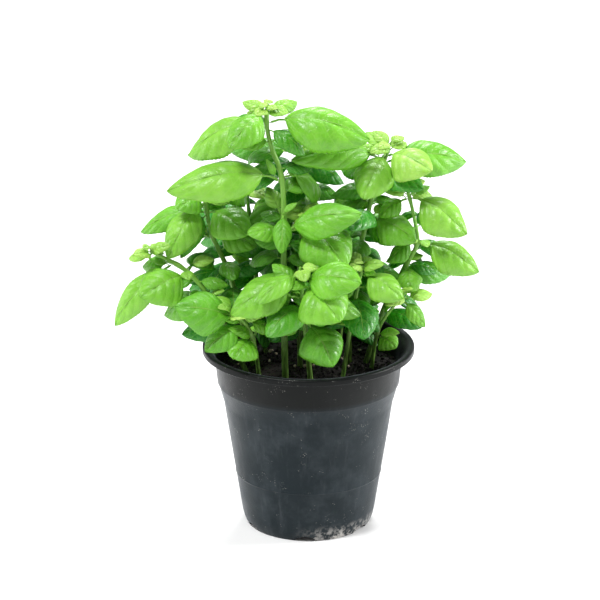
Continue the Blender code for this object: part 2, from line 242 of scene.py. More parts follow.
def rings_of(node, count):
    """Rings of a CAD node as lists of points, starting with the single point at its tip."""
    bm = bmesh.new()
    bm.from_mesh(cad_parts[node].data)
    bmesh.ops.remove_doubles(bm, verts=bm.verts, dist=0.01 * MM)
    tips = [v for v in bm.verts if len(v.link_edges) == count]
    for tip in tips:
        seen = {tip}
        ring = [tip]
        rings = []
        while ring:
            rings.append([v.co.copy() for v in ring])
            beyond = dict.fromkeys(edge.other_vert(v) for v in ring for edge in v.link_edges)
            ring = [v for v in beyond if v not in seen]
            seen.update(ring)
        middle = rings[1:-1]
        if len(middle) > 4 and all(len(r) == count for r in middle):
            bm.free()
            return rings
    bm.free()
    raise ValueError(f"{node} has no rings of {count}")


def middle_of(points):
    return sum(points, Vector()) / len(points)


pair_names = sorted(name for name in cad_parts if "leaf_pair" in name)
stem_names = sorted(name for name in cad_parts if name.startswith("stem") and name not in pair_names)
pair_rings = {name: rings_of(name, PAIR_RING) for name in pair_names}
stem_ring_lists = {name: rings_of(name, STEM_RING) for name in stem_names}
print(len(pair_names), "leaf pairs and", len(stem_names), "stems read")

# %% [markdown]
# A leaf is described by its spine: points from where the stalk leaves the stem to the tip, each with
# the direction that the upper side faces. Between those stations everything is eased with a smooth
# curve. Leaves that the frame holds, and small ones that it leaves out, share this description.

# %% Leaf description
BLADE_SHARES = (0.0, 0.10, 0.34, 0.62, 0.85, 1.0)     # where the stations lie along the blade
SMALL_STALK = 0.12              # the part of a small leaf that is stalk
SMALL_ARCH = 0.18
SMALL_FACING = Vector((0, -0.5, 1))
SMALL_LEAN = 0.4                # how far a small leaf's upper side turns outwards


class LeafShape:
    def __init__(self, root, spine, ups, width):
        self.root = root
        self.spine = spine
        self.ups = ups
        self.width = width
        self.length = sum((b - a).length for a, b in zip(spine, spine[1:]))

    @staticmethod
    def eased(values, share):
        """Smooth curve through the stations at a share of the blade's length."""
        knots = BLADE_SHARES
        k = max(i for i in range(len(knots) - 1) if knots[i] <= share or i == 0)
        before, after = max(k - 1, 0), min(k + 2, len(knots) - 1)
        span = knots[k + 1] - knots[k]
        t = (share - knots[k]) / span
        slope_a = (values[k + 1] - values[before]) / (knots[k + 1] - knots[before]) * span
        slope_b = (values[after] - values[k]) / (knots[after] - knots[k]) * span
        return (values[k] * (2 * t ** 3 - 3 * t ** 2 + 1) + slope_a * (t ** 3 - 2 * t ** 2 + t)
                + values[k + 1] * (3 * t ** 2 - 2 * t ** 3) + slope_b * (t ** 3 - t ** 2))

    def at(self, share):
        """(point, along, side, up) on the midrib."""
        point = self.eased(self.spine, share)
        along = self.eased(self.spine, min(share + 0.02, 1)) - self.eased(self.spine, max(share - 0.02, 0))
        along.normalize()
        side = along.cross(self.eased(self.ups, share)).normalized()
        return point, along, side, side.cross(along)


def leaf_from_rings(rings):
    """The leaf at the front end of a pair's rings."""
    spine, ups, widths = [rings[0][0]], [], []
    for ring in rings[1:5]:
        pairs = [(a, b) for i, a in enumerate(ring) for b in ring[i + 1:]]
        left, right = max(pairs, key=lambda p: (p[0] - p[1]).length)
        top, bottom = sorted((p for p in ring if p is not left and p is not right),
                             key=lambda p: -(p - (left + right) / 2).length)
        spine.append((top + bottom) / 2)
        ups.append((top - bottom).normalized())
        widths.append((left - right).length)
    spine.append(middle_of(rings[5]))
    ups = [ups[0]] + ups + [ups[-1]]
    return LeafShape(middle_of(rings[6]), spine[::-1], ups[::-1], max(widths))


def grown_leaf(root, turn, reach, rise, width):
    """A leaf that springs from a point, its tip reach outwards and rise upwards, in millimetres."""
    heading = Vector((math.cos(math.radians(turn)), math.sin(math.radians(turn)), 0))
    chord = (heading * reach + UP * rise) * MM
    up = SMALL_FACING + heading * SMALL_LEAN
    up = (up - chord * up.dot(chord) / chord.length_squared).normalized()
    spine = []
    for share in BLADE_SHARES:
        part = SMALL_STALK + (1 - SMALL_STALK) * share
        lift = up * chord.length * SMALL_ARCH * math.sin(math.pi * part ** 0.85)
        spine.append(root + chord * part + lift)
    return LeafShape(root, spine, [up] * len(spine), width * MM)


leaves = {}
for name, rings in pair_rings.items():
    leaves[name] = [leaf_from_rings(rings), leaf_from_rings(rings[::-1])]
lengths = [leaf.length / MM for pair in leaves.values() for leaf in pair]
print("blades from", round(min(lengths)), "to", round(max(lengths)), "mm long")

# %% [markdown]
# ## The leaf blade
# A basil leaf is a pillow: it domes over its midrib, its edge turns down and is faintly toothed, and
# the blade swells between the side veins. Each blade starts as a flat grid whose points are then
# carried to their place, so the grid's two directions become the leaf's own map for its veins.

# %% Blade, stalk and midrib
SIDE_VEINS = 4.7
VEIN_SWEEP = 0.36
ROUNDNESS = 1.14                # the blade's arc is wider than the flat solid under it
TIP_DROOP = 0.07
BEND, BEND_SPREAD = 1.05, 0.45  # how far the blade's two halves turn down, in radians
TWIST_SPREAD = 0.35
TEETH, TOOTH_DEPTH = 15, 0.018
PILLOW_HEIGHT = 0.014           # these three are shares of the blade's width
KEEL_DEPTH = 0.03
EDGE_WAVE = 0.05
STALK_RADIUS = 0.75 * MM
STALK_SIDES = 7


def outline(share):
    """Half width of the blade as a share of its widest half width."""
    return max(math.sin(math.pi * min(max(share, 0.0), 1.0) ** 0.78), 0.0) ** 0.62


def add_blade(bm, leaf, steps, layers, seed, fold=0.0, tone=0.5):
    across, along_steps = steps
    uv, tone_layer = layers
    bend = BEND + BEND_SPREAD * noise.noise(Vector((seed, 1.7, 0)))
    twist = TWIST_SPREAD * noise.noise(Vector((seed, 9.1, 0)))
    for vert in bmesh.ops.create_grid(bm, x_segments=across, y_segments=along_steps, size=1.0)["verts"]:
        u, share = vert.co.x, (vert.co.y + 1) / 2
        point, _, side, up = leaf.at(share)
        tooth = 1 + TOOTH_DEPTH * math.sin(share * 2 * math.pi * TEETH) * abs(u) ** 3
        half = leaf.width / 2 * ROUNDNESS * max(outline(share), 0.03) * tooth
        turn = twist * share + bend * u
        phase = SIDE_VEINS * (share - VEIN_SWEEP * abs(u) ** 1.3)
        swell = abs(math.sin(math.pi * phase)) ** 0.8 * math.sin(math.pi * min(abs(u) * 1.02, 1)) ** 0.7
        height = leaf.width * PILLOW_HEIGHT * swell * min(share * 6, 1) * min((1 - share) * 5, 1)
        height -= leaf.width * KEEL_DEPTH * math.exp(-(u / 0.10) ** 2)
        height += abs(u) * fold * half
        wave = noise.noise(Vector((share * 3.1 + seed * 7, u * 1.4, seed))) * leaf.width * EDGE_WAVE * u * u
        out = math.sin(turn) - math.sin(twist * share)
        sink = math.cos(turn) - math.cos(twist * share)
        droop = leaf.length * TIP_DROOP * share ** 3
        vert.co = point + side * half * out / bend + up * (half * sink / bend + height + wave - droop)
        vert[tone_layer] = tone
        for loop in vert.link_loops:
            loop[uv].uv = ((u + 1) / 2, share)


def add_tube(bm, points, radii, sides, tone_layer, tone):
    """A closed round rod: a circle pushed along a row of points and pinched shut at both ends."""
    ring = bmesh.ops.create_circle(bm, cap_ends=False, segments=sides, radius=1.0)["verts"]
    shape = [v.co.copy() for v in ring]
    edges = list({e for v in ring for e in v.link_edges})
    frame_turn = UP.rotation_difference((points[1] - points[0]).normalized()).to_matrix()
    previous = (points[1] - points[0]).normalized()
    first = ring
    for k, (point, radius) in enumerate(zip(points, radii)):
        if k:
            made = bmesh.ops.extrude_edge_only(bm, edges=edges)["geom"]
            edges = [g for g in made if isinstance(g, bmesh.types.BMEdge)
                     and all(v in made for v in g.verts)]
            fresh = {v: None for v in made if isinstance(v, bmesh.types.BMVert)}
            ring = [next(e.other_vert(v) for e in v.link_edges if e.other_vert(v) in fresh) for v in ring]
            ahead = (points[min(k + 1, len(points) - 1)] - points[k - 1]).normalized()
            frame_turn = previous.rotation_difference(ahead).to_matrix() @ frame_turn
            previous = ahead
        for vert, corner in zip(ring, shape):
            vert.co = point + frame_turn @ (corner * radius)
            vert[tone_layer] = tone
    for end in (first, ring):
        bmesh.ops.pointmerge(bm, verts=end, merge_co=middle_of([v.co for v in end]))


def add_stalk(bm, leaf, tone_layer, tone, thick=1.0):
    """The stalk from the stem, running on as the midrib under the blade."""
    start = leaf.root - (leaf.spine[0] - leaf.root).normalized() * 1.6 * MM
    points = [start, leaf.root.lerp(leaf.spine[0], 0.1), leaf.root.lerp(leaf.spine[0], 0.6)]
    radii = [STALK_RADIUS * thick * 1.15, STALK_RADIUS * thick, STALK_RADIUS * thick * 0.9]
    for share in (0.0, 0.1, 0.25, 0.45, 0.65, 0.85):
        point, _, _, up = leaf.at(share)
        radius = STALK_RADIUS * thick * (0.85 - 0.75 * share)
        points.append(point - up * (radius * 0.8 + leaf.width * KEEL_DEPTH))
        radii.append(radius)
    add_tube(bm, points, radii, STALK_SIDES, tone_layer, tone)


def smooth(bm):
    for face in bm.faces:
        face.smooth = True


def finished(bm, name, materials):
    """Turn a bmesh into a riding piece of the plant."""
    mesh = bpy.data.meshes.new(name)
    bm.to_mesh(mesh)
    bm.free()
    obj = bpy.data.objects.new(name, mesh)
    bpy.context.scene.collection.objects.link(obj)
    for material in materials:
        mesh.materials.append(material)
    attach(obj, "root")
    return obj


print("blade and stalk makers ready")

# %% [markdown]
# ## Leaf, stem and stalk finishes
# The blade's colour and relief follow its own map: the midrib runs up the middle, five pairs of side
# veins sweep towards the edge, and a fine net fills the space between them. One node group draws all
# three from the map and puts out masks and a height, so the upper and lower skins can share it.

# %% Vein pattern
def vein_group():
    tree, n, ends, out = new_group(
        "leaf_veins",
        [("Map", "Vector", None), ("Position", "Vector", None), ("Net Scale", "Float", 9.0)],
        [("Vein", "Float"), ("Net", "Float"), ("Height", "Float"), ("Mottle", "Float")])
    split = n.add("ShaderNodeSeparateXYZ", {"Vector": ends["Map"]}).outputs
    u = n.math("ABSOLUTE", n.math("MULTIPLY_ADD", split["X"], 2.0, -1.0))
    swept = n.math("MULTIPLY", n.math("POWER", u, 1.3), VEIN_SWEEP)
    phase = n.math("MULTIPLY", n.math("SUBTRACT", split["Y"], swept), SIDE_VEINS)
    distance = n.math("PINGPONG", phase, 0.5)
    fade = n.ramp(u, 1.0, 0.72)
    side = n.math("MULTIPLY", n.ramp(distance, 0.075, 0.0), fade)
    midrib = n.ramp(u, 0.05, 0.012)
    vein = n.math("MAXIMUM", side, midrib)
    longer = {0: ends["Map"], 1: (1.0, 1.7, 1.0)}
    stretched = n.add("ShaderNodeVectorMath", longer, operation="MULTIPLY").outputs[0]
    cells = n.add("ShaderNodeTexVoronoi", {"Vector": stretched, "Scale": ends["Net Scale"]},
                  feature="DISTANCE_TO_EDGE").outputs["Distance"]
    net = n.ramp(cells, 0.10, 0.0)
    mottle = n.noise(ends["Position"], 90.0, 3.0)
    pillow = n.math("MULTIPLY", n.math("SINE", n.math("MULTIPLY", distance, math.pi)), 0.9)
    height = n.math("SUBTRACT", pillow, n.math("MULTIPLY", net, 0.22))
    height = n.math("SUBTRACT", height, n.math("MULTIPLY", midrib, 0.5))
    for name, value in (("Vein", vein), ("Net", net), ("Height", height), ("Mottle", mottle)):
        n.feed(out[name], value)
    return tree


VEINS = vein_group()
print("vein group with", len(VEINS.nodes), "nodes")

# %% [markdown]
# Every leaf carries a tone from 0, old and deep green, to 1, young and yellow green. The tone also holds
# painted light and shade: it is lighter at the plant's front and darker at its back and on the inner leaves.
# The upper skin has a soft waxy gloss; the lower skin is paler and duller. Light passes through a real
# blade, so a little subsurface scattering lets the sunlit side glow through.

# %% Upper and lower skin
DEEP_GREEN = colour(0.014, 0.23, 0.003)
FRESH_GREEN = colour(0.16, 0.48, 0.022)
YOUNG_GREEN = colour(0.42, 0.72, 0.12)
PALE_VEIN = colour(0.28, 0.60, 0.09)
UNDERSIDE = colour(0.16, 0.38, 0.06)
STEM_FOOT = colour(0.07, 0.15, 0.02)
STEM_GREEN = colour(0.20, 0.46, 0.05)
STEM_STREAK = colour(0.34, 0.60, 0.13)
STEM_BLOTCH = colour(0.16, 0.20, 0.05)


def leaf_skin(name, lower):
    material, n, shader = new_material(name, Roughness=0.42, Subsurface_Weight=0.12, Subsurface_Scale=0.003)
    shader.inputs["Subsurface Radius"].default_value = (0.5, 1.0, 0.15)
    shader.inputs["Specular IOR Level"].default_value = 0.25 if lower else 0.5
    position = n.add("ShaderNodeTexCoord").outputs["Object"]
    leaf_map = n.add("ShaderNodeUVMap", uv_map="blade").outputs["UV"]
    tone = n.add("ShaderNodeAttribute", attribute_name="tone").outputs["Fac"]
    veins = n.group(VEINS, {"Map": leaf_map, "Position": position})
    base = n.mix(n.ramp(tone, 0.0, 0.55), DEEP_GREEN, FRESH_GREEN)
    base = n.mix(n.ramp(tone, 0.5, 1.0), base, YOUNG_GREEN)
    patchy = n.mix(n.ramp(veins["Mottle"], 0.35, 0.7), colour(0.80, 0.86, 0.7), colour(1.12, 1.08, 1.2))
    base = n.mix(1.0, base, patchy, "MULTIPLY")
    base = n.mix(n.math("MULTIPLY", veins["Net"], 0.16), base, PALE_VEIN)
    base = n.mix(n.math("MULTIPLY", veins["Vein"], 0.5 if lower else 0.26), base, PALE_VEIN)
    if lower:
        base = n.mix(0.35, base, UNDERSIDE)
    n.feed(shader.inputs["Base Color"], base)
    shine = n.math("MULTIPLY_ADD", veins["Mottle"], 0.25, 0.45 if lower else 0.27)
    n.feed(shader.inputs["Roughness"], shine)
    bump = n.add("ShaderNodeBump", {"Height": veins["Height"], "Strength": 0.4, "Distance": 0.001})
    bump.invert = lower
    n.feed(shader.inputs["Normal"], bump.outputs["Normal"])
    return material


def stem_skin():
    material, n, shader = new_material("stem_skin", Subsurface_Weight=0.15, Subsurface_Scale=0.003)
    shader.inputs["Subsurface Radius"].default_value = (0.6, 1.0, 0.2)
    position = n.add("ShaderNodeTexCoord").outputs["Object"]
    height = n.add("ShaderNodeSeparateXYZ", {"Vector": position}).outputs["Z"]
    long_grain = n.add("ShaderNodeMapping", {"Vector": position, "Scale": (1.0, 1.0, 0.08)}).outputs["Vector"]
    streak = n.noise(long_grain, 1400.0, 3.0)
    blotch = n.noise(position, 120.0, 3.0)
    base = n.mix(n.ramp(height, 0.10, 0.16), STEM_FOOT, STEM_GREEN)
    base = n.mix(n.ramp(streak, 0.45, 0.85), base, STEM_STREAK)
    base = n.mix(n.math("MULTIPLY", n.ramp(blotch, 0.6, 0.8), 0.3), base, STEM_BLOTCH)
    n.feed(shader.inputs["Base Color"], base)
    n.feed(shader.inputs["Roughness"], n.math("MULTIPLY_ADD", blotch, 0.25, 0.3))
    bump = n.add("ShaderNodeBump", {"Height": streak, "Strength": 0.35, "Distance": 0.0004})
    n.feed(shader.inputs["Normal"], bump.outputs["Normal"])
    return material


upper_skin = leaf_skin("leaf_upper_skin", lower=False)
lower_skin = leaf_skin("leaf_lower_skin", lower=True)
stalk_skin = stem_skin()
print("leaf and stem finishes made")

# %% [markdown]
# ## Growing the leaves
# Each pair is one piece: two blades given a thin wall by a Solidify modifier, whose underside takes
# the paler finish, and two stalks kept as a piece of their own because they need no wall.

# %% Leaf pairs
BLADE_STEPS = (18, 34)
SMALL_STEPS = (8, 12)
INNER_STEPS = (12, 22)
BLADE_WALL = 0.3 * MM


def leaf_mesh():
    bm = bmesh.new()
    return bm, bm.loops.layers.uv.new("blade"), bm.verts.layers.float.new("tone")


def grow(name, shapes, steps, stalk_thickness=1.0):
    """A piece of blades and a piece of stalks from (leaf, tone, fold) entries."""
    blades, *layers = leaf_mesh()
    stalks, _, stalk_tone = leaf_mesh()
    for number, (leaf, tone, fold) in enumerate(shapes):
        seed = (sum(map(ord, name)) % 97) + number * 1.37
        add_blade(blades, leaf, steps, layers, seed, fold, tone)
        add_stalk(stalks, leaf, stalk_tone, tone, stalk_thickness)
    smooth(blades)
    smooth(stalks)
    bmesh.ops.recalc_face_normals(stalks, faces=stalks.faces)
    blade_piece = finished(blades, name, (upper_skin, lower_skin))
    wall = blade_piece.modifiers.new("wall", "SOLIDIFY")
    wall.thickness = BLADE_WALL
    wall.offset = -1.0
    wall.material_offset = 1
    wall.material_offset_rim = 1
    finished(stalks, name + "_stalks", (stalk_skin,))
    return blade_piece


rng = random.Random(7)
YOUNG_LENGTH = 24 * MM          # a leaf shorter than this is still young and yellow


def tone_with_painted_light(leaf):
    """Young and yellow high in the plant, deep green low down; lighter at its front as painted light and
    darker at its back as painted shade.
    """
    middle = leaf.at(0.5)[0]
    # painted light and shade: leaves at the front (negative y) are made lighter, leaves at the back darker
    tone = 0.36 + 0.22 * (middle.z - 0.15) / 0.1 - 2.6 * middle.y - 4.5 * max(middle.y - 0.01, 0)
    young = 0.35 * max(0.0, 1 - leaf.length / YOUNG_LENGTH)
    return min(max(tone + young + rng.uniform(-0.2, 0.22), 0.0), 1.0)


for name, pair in leaves.items():
    shapes = [(leaf, tone_with_painted_light(leaf), 0.0) for leaf in pair]
    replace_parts(grow(name + "_blades", shapes, BLADE_STEPS), name)
print(len(leaves), "pairs of full blades grown")

# %% [markdown]
# ## Stems
# A stem is drawn as a round rod that tapers upwards and follows the frame's rings. It is thicker
# where a pair of leaves joins it, so a swelling is added at each pair's height.

# %% Stems
STEM_SIDES = 12
STEM_STEPS = 5                  # points between one ring and the next
BUD_RADIUS = 0.3 * MM
SWELLING, SWELLING_LENGTH = 0.35, 2.2 * MM


def smooth_path(points, steps):
    """More points on the smooth curve through a row of points."""
    path = []
    for k in range(len(points) - 1):
        before, after = points[max(k - 1, 0)], points[min(k + 2, len(points) - 1)]
        a, b = points[k], points[k + 1]
        for step in range(steps):
            t = step / steps
            path.append(0.5 * (2 * a + (b - before) * t + (2 * before - 5 * a + 4 * b - after) * t ** 2
                               + (3 * a - before - 3 * b + after) * t ** 3))
    return path + [points[-1]]


def stem_piece(name):
    """Cover a stem; returns the centres of its rings, from the soil to the bud."""
    rings = stem_ring_lists[name][::-1]
    centres = [middle_of(ring) for ring in rings]
    radii = [(ring[0] - centre).length for ring, centre in zip(rings[:-1], centres)] + [BUD_RADIUS]
    path = smooth_path(centres, STEM_STEPS)
    nodes = [middle_of(ring_list[len(ring_list) // 2]) for pair, ring_list in pair_rings.items()
             if pair.startswith(name)]
    thick = []
    for k, point in enumerate(path):
        whole, part = divmod(k, STEM_STEPS)
        radius = radii[whole]
        if whole < len(radii) - 1:
            radius = radii[whole] + (radii[whole + 1] - radii[whole]) * part / STEM_STEPS
        swelling = max([math.exp(-((point.z - node.z) / SWELLING_LENGTH) ** 2) for node in nodes] or [0])
        thick.append(radius * (1 + SWELLING * swelling))
    bm, _, tone_layer = leaf_mesh()
    add_tube(bm, path, thick, STEM_SIDES, tone_layer, 0.5)
    smooth(bm)
    bmesh.ops.recalc_face_normals(bm, faces=bm.faces)
    piece = finished(bm, name + "_skin", (stalk_skin,))
    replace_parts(piece, name)
    return centres


stem_paths = {name: stem_piece(name) for name in stem_names}
print(len(stem_paths), "stems covered")

# %% [markdown]
# ## Small growth
# Between the full leaves a real plant is full of small ones: a rosette round every growing tip, side
# shoots in the angles of the leaves, and smaller inner leaves along the stems. The frame leaves them
# out, so they are grown here from seeded random numbers, in the same leaf shape.

# %% Room between the leaves
STAND_IN_STEPS = (4, 7)


class Crowd:
    """Coarse stand-ins of everything grown so far, to keep a new blade from cutting through it."""

    def __init__(self):
        self.pieces = []
        for name in ["nursery_pot", "potting_soil"] + stem_names:
            low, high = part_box(name)
            bm = bmesh.new()
            bm.from_mesh(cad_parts[name].data)
            self.pieces.append((BVHTree.FromBMesh(bm), low, high))
            bm.free()

    @staticmethod
    def stand_in(leaf):
        bm, *layers = leaf_mesh()
        add_blade(bm, leaf, STAND_IN_STEPS, layers, 1.0)
        points = [v.co.copy() for v in bm.verts]
        tree = BVHTree.FromBMesh(bm)
        bm.free()
        low, high = (Vector(f(p[k] for p in points) for k in range(3)) for f in (min, max))
        return tree, low, high

    def admits(self, leaf):
        tree, low, high = self.stand_in(leaf)
        if any(low[k] < CAD_BOX[0][k] or high[k] > CAD_BOX[1][k] for k in range(3)):
            return False
        for other, other_low, other_high in self.pieces:
            apart = any(low[k] > other_high[k] or high[k] < other_low[k] for k in range(3))
            if not apart and tree.overlap(other):
                return False
        self.pieces.append((tree, low, high))
        return True

    def keep_open(self, low, high):
        """Let no later leaf cross the walls of a box, so the stem behind it stays in view."""
        bm = bmesh.new()
        middle = Matrix.Translation((low + high) / 2)
        bmesh.ops.create_cube(bm, size=1.0, matrix=middle @ Matrix.Diagonal((*(high - low), 1)))
        self.pieces.append((BVHTree.FromBMesh(bm), low, high))
        bm.free()


TALL_STEM_WINDOW = (Vector((-24, -62, 176)) * MM, Vector((-8, -24, 250)) * MM)
LOW_WINDOW = (Vector((-20, -50, 108)) * MM, Vector((-9, -26, 134)) * MM)
crowd = Crowd()
crowd.keep_open(*TALL_STEM_WINDOW)
crowd.keep_open(*LOW_WINDOW)
for pair in leaves.values():
    for leaf in pair:
        crowd.pieces.append(crowd.stand_in(leaf))


def squeeze_in(root, turn, reach, rise, plump=0.62, tries=14):
    """A leaf grown where there is room for it, or None."""
    for attempt in range(tries):
        size = reach * (1 - 0.035 * attempt)
        swing = rng.uniform(-1, 1) * 5 * attempt
        leaf = grown_leaf(root, turn + swing, size, rise + rng.uniform(-1, 1) * attempt, size * plump)
        if crowd.admits(leaf):
            return leaf
    return None


print(len(crowd.pieces), "pieces to keep clear of")

# %% Tips, side shoots and inner leaves
TIP_COUNT, TIP_SIZE = 8, (15, 20)               # sizes in this cell are in millimetres
SHOOT_PARENT = 15                               # a shorter leaf carries no side shoot
SHOOT_SIZE, SHOOT_TURN = (8, 17), (30, 80)
INNER_REACH, INNER_RISE = (24, 40), (-14, 4)
INNER_SPACING = 8
CLEAR_IN_FRONT, CLEAR_BEHIND = 48, 30           # bare stem above the soil
CLEAR_BELOW_TIP = 12
# painted shade: inner leaves among the full blades are made darker than their tone
INNER_PAINTED_SHADE = 0.3


def rosette(point, size, count):
    """A tuft of young leaves round a growing tip, each pair at right angles to the last."""
    start = rng.uniform(0, 360)
    tuft = []
    for k in range(count):
        turn = start + 90 * (k // 2) + 180 * (k % 2) + rng.uniform(-15, 15)
        scale = size * (1 - 0.5 * k / count)
        foot = point + UP * 0.9 * k * MM
        leaf = squeeze_in(foot, turn, scale, scale * rng.uniform(-0.1, 0.55), 0.72, 6)
        if leaf:
            tuft.append((leaf, rng.uniform(0.7, 1.0), 0.25))
    return tuft


def stem_point(centres, height):
    """The point of a stem's centre line at a height."""
    for a, b in zip(centres, centres[1:]):
        if a.z <= height <= b.z:
            return a.lerp(b, (height - a.z) / (b.z - a.z))
    return centres[-1]


tip_leaves = []
for name in stem_names:
    tip_leaves += rosette(stem_paths[name][-1] - UP * 5 * MM, rng.uniform(*TIP_SIZE), TIP_COUNT)
shoot_leaves = []
for name, pair in leaves.items():
    for leaf in pair:
        if leaf.length > SHOOT_PARENT * MM:
            foot = leaf.root.lerp(leaf.spine[0], 0.2) + UP * 1.5 * MM
            away = leaf.spine[1] - leaf.root
            turn = math.degrees(math.atan2(away.y, away.x)) + rng.choice((-1, 1)) * rng.uniform(*SHOOT_TURN)
            size = rng.uniform(*SHOOT_SIZE)
            young = squeeze_in(foot, turn, size, size * rng.uniform(0.0, 0.7), 0.66, 8)
            if young:
                shoot_leaves.append((young, rng.uniform(0.45, 0.9), 0.2))
grow("tip_rosettes", tip_leaves, SMALL_STEPS, 0.5)
grow("side_shoots", shoot_leaves, SMALL_STEPS, 0.5)
inner_count = 0
for name in stem_names:
    centres = stem_paths[name]
    inner = []
    height = centres[0].z + (CLEAR_IN_FRONT if centres[0].y < 0 else CLEAR_BEHIND) * MM
    turn = rng.uniform(0, 360)
    while height < centres[-1].z - CLEAR_BELOW_TIP * MM:
        root = stem_point(centres, height)
        for side in (0, 180):
            leaf = squeeze_in(root, turn + side, rng.uniform(*INNER_REACH), rng.uniform(*INNER_RISE))
            if leaf:
                # painted shade: each inner leaf takes a darker tone
                inner.append((leaf, max(tone_with_painted_light(leaf) - INNER_PAINTED_SHADE, 0.0), 0.0))
        turn += 90 + rng.uniform(-20, 20)
        height += INNER_SPACING * MM
    inner_count += len(inner)
    if inner:
        grow(name + "_inner_leaves", inner, INNER_STEPS, 0.7)
print(len(tip_leaves), "tip,", len(shoot_leaves), "shoot and", inner_count, "inner leaves")

# %% [markdown]
# ## The pot
# The pot is thin moulded plastic: a turned-down lip, a collar that steps in at a sharp line, a plain
# tapered body with a faint ring, and arched drain holes in the corner of its foot. Its outline is
# spun round the axis, and the holes are cut with a Boolean whose result is kept as a plain mesh.

# %% Pot shape
ROUND_STEPS = 144
POT_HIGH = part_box("nursery_pot")[1]
POT_TOP = POT_HIGH.z
RIM = POT_HIGH.x
LIP = 1.4 * MM
WALL = 1.0 * MM
COLLAR_LINE = 91.0 * MM
SHOULDER = 80.5 * MM
RING_HEIGHT, RING_BULGE = 33.6, 0.28
DRAIN_HOLES = 6
FIRST_HOLE_TURN = -93
HOLE_HEIGHT, HOLE_HALF_WIDTH = 3.2 * MM, 6.5 * MM


def arc(centre, radius, start, end, steps):
    """Points of an arc in the (radius, height) plane, in degrees."""
    turns = (math.radians(start + (end - start) * k / steps) for k in range(steps + 1))
    return [(centre[0] + radius * math.cos(t), centre[1] + radius * math.sin(t)) for t in turns]


def spun(outline, steps=ROUND_STEPS):
    """A closed (radius, height) outline turned round the pot's axis."""
    bm = bmesh.new()
    verts = [bm.verts.new((radius, 0, height)) for radius, height in outline]
    pairs = zip(verts, verts[1:] + verts[:1])
    edges = [bm.edges.new(pair) for pair in pairs if max(pair[0].co.x, pair[1].co.x) > 0]
    bmesh.ops.spin(bm, geom=verts + edges, cent=(0, 0, 0), axis=(0, 0, 1), angle=math.tau,
                   steps=steps, use_merge=True)
    bmesh.ops.remove_doubles(bm, verts=bm.verts, dist=0.002 * MM)
    bmesh.ops.recalc_face_normals(bm, faces=bm.faces)
    return bm


def pot_outline():
    """The closed outline of the wall as (radius, height) points, outside first."""
    outer = arc((RIM - LIP, POT_TOP - LIP), LIP, 95, 0, 6)
    outer += [(RIM, POT_TOP - 3.7 * MM), (RIM - 0.35 * MM, POT_TOP - 4.0 * MM)]
    outer += [(RIM - WALL, POT_TOP - 3.8 * MM), (RIM - WALL, POT_TOP - 2.2 * MM)]
    outer += [(RIM - 3.2 * MM, POT_TOP - 1.6 * MM)]
    outer += [(58.4 * MM, POT_TOP - 5.0 * MM), (57.5 * MM, POT_TOP - 8.0 * MM)]
    outer += [(55.9 * MM, COLLAR_LINE + 0.8 * MM), (55.5 * MM, COLLAR_LINE)]
    outer += [(55.1 * MM, COLLAR_LINE - 0.5 * MM)]
    outer += [(52.8 * MM, SHOULDER + 1.6 * MM), (52.2 * MM, SHOULDER), (51.9 * MM, SHOULDER - 1.8 * MM)]
    for height in (60.0, 34.2, RING_HEIGHT, 33.0, 32.4, 20.0, 9.5, 8.0):
        bulge = RING_BULGE if height == RING_HEIGHT else 0.0
        outer.append(((41.0 + (height - 9.0) * 0.158 + bulge) * MM, height * MM))
    outer += [(40.1 * MM, 5.0 * MM), (39.0 * MM, 2.2 * MM), (38.4 * MM, 0.9 * MM), (37.7 * MM, 0.0)]
    inner = [(0.0, 0.0), (0.0, 1.2 * MM), (37.5 * MM, 1.2 * MM), (40.0 * MM, 9.0 * MM)]
    inner += [(51.2 * MM, SHOULDER), (54.7 * MM, COLLAR_LINE), (56.5 * MM, POT_TOP - 8.0 * MM)]
    inner += [(57.6 * MM, POT_TOP - 5.0 * MM), (60.4 * MM, POT_TOP - 1.0 * MM)]
    inner += [(61.4 * MM, POT_TOP - 0.25 * MM)]
    return outer + inner


def drain_cutters():
    bm = bmesh.new()
    for number in range(DRAIN_HOLES):
        turn = math.radians(FIRST_HOLE_TURN + 360 / DRAIN_HOLES * number)
        made = bmesh.ops.create_cone(bm, cap_ends=True, segments=24, radius1=1, radius2=1,
                                     depth=10 * MM)["verts"]
        bmesh.ops.scale(bm, verts=made, vec=(HOLE_HEIGHT, HOLE_HALF_WIDTH, 1))
        place = Matrix.Rotation(turn, 4, "Z") @ Matrix.Translation((34.9 * MM, 0, -0.05 * MM))
        bmesh.ops.transform(bm, matrix=place @ Matrix.Rotation(math.pi / 2, 4, "Y"), verts=made)
    return bm


def plain_object(bm, name):
    mesh = bpy.data.meshes.new(name)
    bm.to_mesh(mesh)
    bm.free()
    obj = bpy.data.objects.new(name, mesh)
    bpy.context.scene.collection.objects.link(obj)
    return obj


def cut_pot():
    """The spun pot with its drain holes cut, as a bmesh."""
    shell = plain_object(spun(pot_outline()), "pot_shell")
    cutter = plain_object(drain_cutters(), "drain_cutter")
    boolean = shell.modifiers.new("drain_holes", "BOOLEAN")
    boolean.operation = "DIFFERENCE"
    boolean.object = cutter
    bpy.context.view_layer.update()
    result = bpy.data.meshes.new_from_object(shell.evaluated_get(bpy.context.evaluated_depsgraph_get()))
    bm = bmesh.new()
    bm.from_mesh(result)
    for spare in (shell, cutter):
        bpy.data.objects.remove(spare)
    return bm


# %% [markdown]
# Black polypropylene that has stood in a greenhouse is charcoal grey with a bluish sheen where it
# faces the light. It is freckled with white lime specks and dusted with pale smears of dried water.
# The collar and lip are painted nearly black as painted shade under the lip and the leaves, and a whitish
# crust has grown along one side of the foot.

